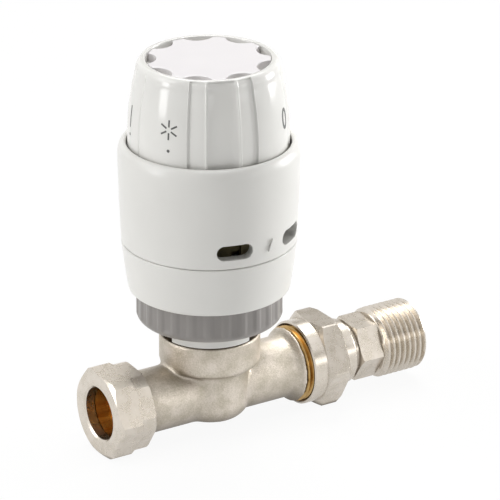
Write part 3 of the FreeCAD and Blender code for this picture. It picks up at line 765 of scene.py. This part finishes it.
def makeForging():
    look = bodyLook
    start = look["threadEndIn"] + 0.2
    step = headX + look["stepOut"]
    band = headX + look["bandOut"]
    tubes = turned("pipe", [(0, start), (look["thread"] - 0.1, start), (look["tubeIn"], start + 1.2),
                            (look["tubeIn"], headX), (look["tubeOut"], headX),
                            (look["tubeOut"], step, 1.0), (look["threadOut"] - 0.1, step + 1.5, 0.5),
                            (look["threadOut"] - 0.1, band), (0, band)], steps=96)
    trunk = turned("head", [(0, look["barrelLow"]), (look["barrel"], look["barrelLow"], 5.4),
                            (look["barrel"], look["neckLow"] - 1.4, 1.0), (look["neck"], look["neckLow"], 0.9),
                            (look["neck"], bodyHigh.z, 0.5), (0, bodyHigh.z)], steps=128, segments=8)
    bm = remeshed(joinedMesh([tubes, trunk]), look["voxel"])
    for count in range(look["passes"]):
        near = []
        for vert in bm.verts:
            x, y, z = vert.co / mm
            tube = look["tubeIn"] if x < headX else look["tubeOut"]
            offTube = abs(math.hypot(y, z) - tube)
            offTrunk = abs(math.hypot(x - headX, y) - trunkRadius(z))
            blending = x < headX or count < look["crispPasses"]
            if offTube < look["blend"] and offTrunk < look["blend"] and z < look["neckLow"] + 3.6 and blending:
                near.append(vert)
        bmesh.ops.smooth_vert(bm, verts=near, factor=0.5, use_axis_x=True, use_axis_y=True, use_axis_z=True)
    bmesh.ops.smooth_vert(bm, verts=bm.verts, factor=0.5, use_axis_x=True, use_axis_y=True, use_axis_z=True)
    hole = look["bore"] + look["skin"]
    socket = look["socket"] + look["skin"] + 0.04
    shelf = look["socketEnd"] + look["skin"]
    wayIn = headX - look["boreEnd"]
    wayOut = headX + look["outletStart"]
    top = bodyHigh.z + 1
    for hollow in (
            turned("pipe", [(0, start - 1), (socket, start - 1), (socket, shelf), (hole, shelf), (hole, wayIn),
                            (0, wayIn)], steps=64),
            turned("pipe", [(0, wayOut), (hole, wayOut), (hole, band + 1), (0, band + 1)], steps=64),
            turned("head", [(0, look["wellFloor"]), (look["well"], look["wellFloor"]), (look["well"], top),
                            (0, top)], steps=96)):
        bm = combined(bm, hollow, "DIFFERENCE")
    clean(bm)
    finishPiece("bodyForging", bm, nickelForged, "valve", ["valve_body"], 40)


makeForging()
print("forging made")


def makeInletEnd():
    # turned thread and olive cone, then the bare bore behind them
    look = bodyLook
    low = bodyLow.x
    end = look["threadEndIn"] + 0.5
    mouth = 9.3
    back = look["socket"] + look["skin"] - 0.01
    bm = turned("pipe", [(mouth, low), (look["thread"] - 0.4, low), (look["thread"], low + 0.4),
                         (look["thread"], end), (back, end), (back, look["coneEnd"] + 0.2)], steps=96)
    finishPiece("inletThreadEnd", bm, nickelTurned, "valve", ["valve_body"])
    deepest = headX - look["boreEnd"] - 0.1
    outer = look["bore"] + look["skin"] + 0.1
    shelf = look["socketEnd"] + look["skin"] + 0.1
    bore = turned("pipe", [(mouth - 0.02, low + 0.03), (look["socket"], look["coneEnd"]),
                           (look["socket"], look["socketEnd"]), (look["bore"], look["socketEnd"], 0.3),
                           (look["bore"], deepest), (outer, deepest), (outer, shelf), (back - 0.01, shelf),
                           (back - 0.01, look["coneEnd"] + 0.2)], steps=96)
    finishPiece("inletBore", bore, brassOld, "valve", ["valve_body"])


makeInletEnd()


def threadedRod(start, end, major, depth, pitch, core, chamfer, lead):
    # one pitch of the thread's outline is screwed along the pipe, trimmed flat and given an inner wall
    outline = [(0.0, 0.0), (0.10, 0.0), (0.19, 0.18), (0.36, 0.86), (0.44, 1.0), (0.56, 1.0), (0.64, 0.86),
               (0.81, 0.18), (0.90, 0.0), (1.0, 0.0)]
    steps = 96
    turns = math.ceil((end - start) / pitch) + 3
    bm = bmesh.new()
    line = [bm.verts.new(spot("pipe", major - depth + depth * rise, start + pitch * (along - 2)))
            for along, rise in outline]
    for first, second in zip(line, line[1:]):
        bm.edges.new((first, second))
    bmesh.ops.spin(bm, geom=bm.verts[:] + bm.edges[:], cent=(0, 0, 0), axis=(1, 0, 0),
                   dvec=(pitch / steps * mm, 0, 0), angle=2 * math.pi * turns, steps=steps * turns,
                   use_merge=False)
    bmesh.ops.remove_doubles(bm, verts=bm.verts, dist=0.002 * mm)
    for place, side in ((start, -1), (end, 1)):
        bmesh.ops.bisect_plane(bm, geom=bm.verts[:] + bm.edges[:] + bm.faces[:], dist=0.0005 * mm,
                               plane_co=(place * mm, 0, 0), plane_no=(side, 0, 0), clear_outer=True)
    for vert in bm.verts:
        along = vert.co.x / mm
        radius = math.hypot(vert.co.y, vert.co.z) / mm
        most = min(major, major - chamfer + (end - along) * 0.9, major - depth + (along - start) * lead)
        if radius > most > 0:
            vert.co.y *= most / radius
            vert.co.z *= most / radius
    for place in (start, end):
        rim = [edge for edge in bm.edges if edge.is_boundary and abs(edge.verts[0].co.x / mm - place) < 0.01
               and abs(edge.verts[1].co.x / mm - place) < 0.01]
        inner = bmesh.ops.extrude_edge_only(bm, edges=rim)["geom"]
        for vert in [item for item in inner if isinstance(item, bmesh.types.BMVert)]:
            radius = math.hypot(vert.co.y, vert.co.z) / mm
            vert.co.y *= core / radius
            vert.co.z *= core / radius
    rims = [edge for edge in bm.edges if edge.is_boundary]
    bmesh.ops.bridge_loops(bm, edges=rims)
    clean(bm)
    return bm


# the thread is turned through the plate, so it shows brass
outletThreadLook = {"pitch": 1.5, "depth": 0.92, "core": 5.6, "chamfer": 0.6, "lead": 1.5}


def makeOutletThread():
    look = outletThreadLook
    start = headX + bodyLook["bandOut"] - 0.3
    bm = threadedRod(start, bodyHigh.x, bodyLook["threadOut"], look["depth"], look["pitch"], look["core"],
                     look["chamfer"], look["lead"])
    finishPiece("outletThread", bm, brassBare, "valve", ["valve_body"], 40)


makeOutletThread()
print("body made")


def hexagonBar(flats, start, end, firstCorner):
    # each nut is a turned blank crossed with this bar
    bm = bmesh.new()
    ring = bmesh.ops.create_circle(bm, cap_ends=True, radius=flats / math.sqrt(3) * mm, segments=6)["verts"]
    bmesh.ops.rotate(bm, cent=(0, 0, 0), matrix=Matrix.Rotation(math.pi / 2, 3, "Y"), verts=ring)
    bmesh.ops.translate(bm, vec=(start * mm, 0, 0), verts=ring)
    angle = math.degrees(math.atan2(ring[0].co.z, ring[0].co.y))
    turn = Matrix.Rotation(math.radians(firstCorner - angle), 3, "X")
    bmesh.ops.rotate(bm, cent=(0, 0, 0), matrix=turn, verts=ring)
    raised = bmesh.ops.extrude_face_region(bm, geom=bm.faces[:])
    far = [item for item in raised["geom"] if isinstance(item, bmesh.types.BMVert)]
    bmesh.ops.translate(bm, vec=((end - start) * mm, 0, 0), verts=far)
    bmesh.ops.recalc_face_normals(bm, faces=bm.faces)
    return bm


# firstCorner is the angle in degrees of one of the hexagon's corners about the pipe's axis
inletNutLook = {"flats": 24.0, "corner": 13.3, "face": 12.0, "chamfer": 0.75, "hexEnd": 6.7, "skirt": 12.5,
                "bore": 7.65, "web": 3.2, "cone": 9.45, "coneEnd": 5.0, "thread": 10.58, "skirtFlats": 23.3,
                "firstCorner": 124.0}


def makeInletNut():
    look = inletNutLook
    end = inletNutHigh.x
    head = combined(turned("pipe", [(0, 0), (look["face"], 0), (look["corner"], look["chamfer"]),
                                    (look["corner"], look["hexEnd"]), (look["skirt"] - 1, look["hexEnd"] + 1.2),
                                    (0, look["hexEnd"] + 1.2)], steps=192),
                    hexagonBar(look["flats"], -1, end, look["firstCorner"]), "INTERSECT")
    skirt = combined(turned("pipe", [(0, 2), (look["skirt"], 2), (look["skirt"], end - 0.3),
                                     (look["skirt"] - 0.3, end), (0, end)], steps=192),
                     hexagonBar(look["skirtFlats"], 1, end + 1, look["firstCorner"]), "INTERSECT")
    hollow = turned("pipe", [(0, -1), (look["bore"] + 0.5, -1), (look["bore"] + 0.5, 0), (look["bore"], 0.5),
                             (look["bore"], look["web"]), (look["cone"], look["coneEnd"]),
                             (look["thread"], look["coneEnd"]),
                             (look["thread"], end + 1), (0, end + 1)], steps=96)
    bm = combined(combined(head, skirt, "UNION"), hollow, "DIFFERENCE")
    clean(bm)
    piece = finishPiece("inletNut", bm, nickelTurned, "inlet_nut", ["compression_nut"], 20)
    roundEdges(piece, 0.10, 25)


makeInletNut()

unionLook = {"flats": 25.0, "corner": 14.3, "collar": 12.3, "hexStart": 33.2, "rear": 13.2, "thread": 11.2,
             "neckHole": 9.3, "web": 2.2, "firstCorner": 120.0}


def makeUnionNut():
    look = unionLook
    start, end = unionLow.x, unionHigh.x
    hexStart = headX + look["hexStart"]
    rise = look["corner"] - look["collar"]
    hexagon = hexagonBar(look["flats"], start - 1, end + 1, look["firstCorner"])
    blank = turned("pipe", [(look["thread"] + 0.5, start), (look["collar"] - 0.4, start),
                            (look["collar"], start + 0.4),
                            (look["collar"], hexStart - rise * 0.3), (look["corner"], hexStart + rise * 0.3),
                            (look["corner"], end - 1.1), (look["rear"], end), (look["neckHole"], end),
                            (look["neckHole"], end - look["web"]), (look["thread"], end - look["web"]),
                            (look["thread"], start + 0.5)], steps=192)
    bm = combined(blank, hexagon, "INTERSECT")
    clean(bm)
    piece = finishPiece("unionNut", bm, nickelTurned, "tail_nut", ["union_nut"], 20)
    roundEdges(piece, 0.10, 25)


makeUnionNut()

# the tailpiece's thread is a half-inch pipe thread
tailLook = {"flange": 10.7, "neck": 9.0, "ring": 9.5, "ringStart": 41.0, "ringEnd": 44.8, "groove": 7.9,
            "hexStart": 46.5, "hexEnd": 54.0, "flats": 16.7, "major": 10.4775, "depth": 1.162, "pitch": 1.814,
            "chamfer": 0.75, "lead": 1.2, "bore": 6.5, "firstCorner": 124.0}


def makeTailpiece():
    look = tailLook
    start = tailLow.x
    ringStart = headX + look["ringStart"]
    ringEnd = headX + look["ringEnd"]
    hexStart = headX + look["hexStart"]
    hexEnd = headX + look["hexEnd"]
    bm = turned("pipe", [(look["bore"], start), (look["flange"], start, 0.2),
                         (look["flange"], start + 2.0, 0.2), (look["neck"], start + 2.0),
                         (look["neck"], ringStart), (look["ring"], ringStart + 0.4),
                         (look["ring"], ringEnd - 0.4, 0.15), (look["ring"] - 0.5, ringEnd),
                         (look["groove"], ringEnd),
                         (look["groove"], hexStart + 0.5), (look["bore"], hexStart + 0.5)], steps=128)
    finishPiece("tailNeck", bm, nickelTurned, "valve", ["tailpiece"])
    rim = look["flats"] / math.sqrt(3)
    hexagon = hexagonBar(look["flats"], hexStart - 1, hexEnd + 1, look["firstCorner"])
    blank = turned("pipe", [(look["bore"], hexStart), (rim - 0.9, hexStart), (rim, hexStart + 0.5),
                            (rim, hexEnd - 0.3), (rim - 0.7, hexEnd), (look["bore"], hexEnd)], steps=128)
    bm = combined(blank, hexagon, "INTERSECT")
    clean(bm)
    piece = finishPiece("tailHexagon", bm, nickelTurned, "valve", ["tailpiece"], 20)
    roundEdges(piece, 0.10, 25)
    bm = threadedRod(hexEnd - 0.05, tailHigh.x, look["major"], look["depth"], look["pitch"], look["bore"],
                     look["chamfer"], look["lead"])
    finishPiece("tailThread", bm, nickelThread, "valve", ["tailpiece"], 40)


makeTailpiece()
print("nuts and tailpiece made")

# finishes of the frame's own nodes
finishes = {
    "olive": brassOld, "tail_washer": washerFibre, "bonnet": brassBare, "bonnet_seal": sealRubber,
    "gland_nut": brassBare, "gland_seal": sealRubber, "spindle": steelWire, "spindle_clip": steelWire,
    "return_spring": steelWire, "disc_holder": brassBare, "disc_seal": sealRubber, "mounting_base": casingAbs,
    "guide_tube": innerAcetal, "dial_retainer": innerAcetal, "limit_pins": innerAcetal, "carriage": innerAcetal,
    "sensor_can": canAluminium, "sensor_lid": canAluminium, "bellows": brassBare, "pushrod": innerAcetal,
    "thrust_cup": innerAcetal, "overtravel_spring": steelWire}
for name, material in finishes.items():
    mesh = nodes[name].data
    mesh.materials.clear()
    mesh.materials.append(material)
print("frame nodes finished")

# floorGlow and mirrorGlow are the share of plain white that the camera and the reflections see in the floor
studio = {"footGap": 0.02, "floor": "F4F4F3", "floorGlow": 0.93, "mirrorGlow": 0.62, "world": 0.12,
          "card": "ADAAA5"}


def panel(name, width, height, centre, aim):
    bm = bmesh.new()
    bmesh.ops.create_grid(bm, x_segments=1, y_segments=1, size=0.5)
    bmesh.ops.scale(bm, vec=(width, height, 1), verts=bm.verts)
    turn = (Vector(aim) - Vector(centre)).to_track_quat("-Z", "Y").to_matrix().to_4x4()
    bmesh.ops.transform(bm, matrix=Matrix.Translation(centre) @ turn, verts=bm.verts)
    mesh = bpy.data.meshes.new(name)
    bm.to_mesh(mesh)
    bm.free()
    board = bpy.data.objects.new(name, mesh)
    scene.collection.objects.link(board)
    return board


def whiteShare(tree, cameraShare, mirrorShare):
    # how much plain white the camera's rays see, and the rays through mirrors and glass
    path = addNode(tree, "ShaderNodeLightPath")
    seen = addNode(tree, "ShaderNodeMath", {"operation": "MULTIPLY", 1: cameraShare},
                   {0: path.outputs["Is Camera Ray"]})
    mirror = addNode(tree, "ShaderNodeMath", {"operation": "MAXIMUM"},
                     {0: path.outputs["Is Glossy Ray"], 1: path.outputs["Is Transmission Ray"]})
    mirrored = addNode(tree, "ShaderNodeMath", {"operation": "MULTIPLY", 1: mirrorShare},
                       {0: mirror.outputs[0]})
    share = addNode(tree, "ShaderNodeMath", {"operation": "MAXIMUM"},
                    {0: seen.outputs[0], 1: mirrored.outputs[0]})
    return share.outputs[0]


def makeFloor():
    # a pale ground that still takes the shadow
    low = min(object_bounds()[0].z, frameBox[0].z) - studio["footGap"] * mm
    floor = panel("floor", 8, 8, (headX * mm, 0, low), (headX * mm, 0, -1))
    material, tree = emptyMaterial("paleFloor")
    matt = addNode(tree, "ShaderNodeBsdfDiffuse", {"Color": hexColour(studio["floor"])})
    white = addNode(tree, "ShaderNodeEmission", {"Color": (1, 1, 1, 1), "Strength": 1.0})
    share = whiteShare(tree, studio["floorGlow"], studio["mirrorGlow"])
    mixed = addNode(tree, "ShaderNodeMixShader", {}, {0: share, 1: matt.outputs[0], 2: white.outputs[0]})
    addNode(tree, "ShaderNodeOutputMaterial", {}, {"Surface": mixed.outputs[0]})
    floor.data.materials.append(material)


def makeWorld():
    world = bpy.data.worlds.new("studio")
    world.use_nodes = True
    scene.world = world
    tree = world.node_tree
    tree.nodes.clear()
    dim = addNode(tree, "ShaderNodeBackground", {"Color": (1, 1, 1, 1), "Strength": studio["world"]})
    white = addNode(tree, "ShaderNodeBackground", {"Color": (1, 1, 1, 1), "Strength": 1.0})
    share = whiteShare(tree, 1, 1)
    mixed = addNode(tree, "ShaderNodeMixShader", {}, {0: share, 1: dim.outputs[0], 2: white.outputs[0]})
    addNode(tree, "ShaderNodeOutputWorld", {}, {"Surface": mixed.outputs[0]})


makeFloor()
makeWorld()

viewLook = {"azimuth": -32.47, "elevation": 22.94, "distance": 1166.4, "lens": 297.6,
            "aim": (9.70, -6.17, 41.75)}


def viewBack(azimuth, elevation):
    a, e = math.radians(azimuth), math.radians(elevation)
    return Vector((math.sin(a) * math.cos(e), -math.cos(a) * math.cos(e), math.sin(e)))


def makeCamera():
    look = viewLook
    data = bpy.data.cameras.new("camera")
    data.lens = look["lens"]
    data.sensor_width = 36  # full frame, mm
    data.clip_start = 0.05
    data.clip_end = 30
    camera = bpy.data.objects.new("camera", data)
    scene.collection.objects.link(camera)
    back = viewBack(look["azimuth"], look["elevation"])
    aim = (Vector((headX, 0, 0)) + Vector(look["aim"])) * mm
    camera.location = aim + back * look["distance"] * mm
    camera.rotation_mode = "QUATERNION"
    camera.rotation_quaternion = (-back).to_track_quat("-Z", "Y")
    scene.camera = camera


makeCamera()

# azimuth and elevation as the camera's, distances and sizes in metres, powers in watts
lamps = {
    "leftHigh": {"at": (-112, 38), "away": 0.9, "size": (0.5, 0.5), "power": 2.4},
    "leftLow": {"at": (-100, 8), "away": 0.9, "size": (0.25, 0.5), "power": 2.4},
    "frontFill": {"at": (18, 9), "away": 0.9, "size": (0.8, 0.2), "power": 1.1},
    "rightLow": {"at": (78, 8), "away": 0.9, "size": (0.35, 0.5), "power": 6.0},
    "rightBack": {"at": (140, 58), "away": 0.9, "size": (0.6, 0.5), "power": 4.5},
    "topSoftbox": {"at": (-20, 82), "away": 0.9, "size": (0.6, 0.5), "power": 2.7}}

# grey boards that only reflections see, for darker bands on the metal
cards = {"frontCard": {"at": (5, 16), "away": 1.7, "size": (2.2, 1.2)},
         "backCard": {"at": (147, 26), "away": 1.7, "size": (1.3, 0.7)}}


def makeLights():
    middle = Vector((headX * mm, 0, 45 * mm))
    for name, look in lamps.items():
        data = bpy.data.lights.new(name, "AREA")
        data.shape = "RECTANGLE"
        data.size, data.size_y = look["size"]
        data.energy = look["power"]
        lamp = bpy.data.objects.new(name, data)
        scene.collection.objects.link(lamp)
        back = viewBack(*look["at"])
        lamp.location = middle + back * look["away"]
        lamp.rotation_mode = "QUATERNION"
        lamp.rotation_quaternion = (-back).to_track_quat("-Z", "Y")
    dark, tree = emptyMaterial("greyCard")
    plain = addNode(tree, "ShaderNodeEmission", {"Color": hexColour(studio["card"]), "Strength": 1.0})
    addNode(tree, "ShaderNodeOutputMaterial", {}, {"Surface": plain.outputs["Emission"]})
    for name, look in cards.items():
        back = viewBack(*look["at"])
        board = panel(name, *look["size"], middle + back * look["away"], middle)
        board.data.materials.append(dark)
        board.visible_camera = False
        board.visible_shadow = False
        board.visible_diffuse = False


makeLights()
scene.view_settings.view_transform = "Standard"
print("studio made")
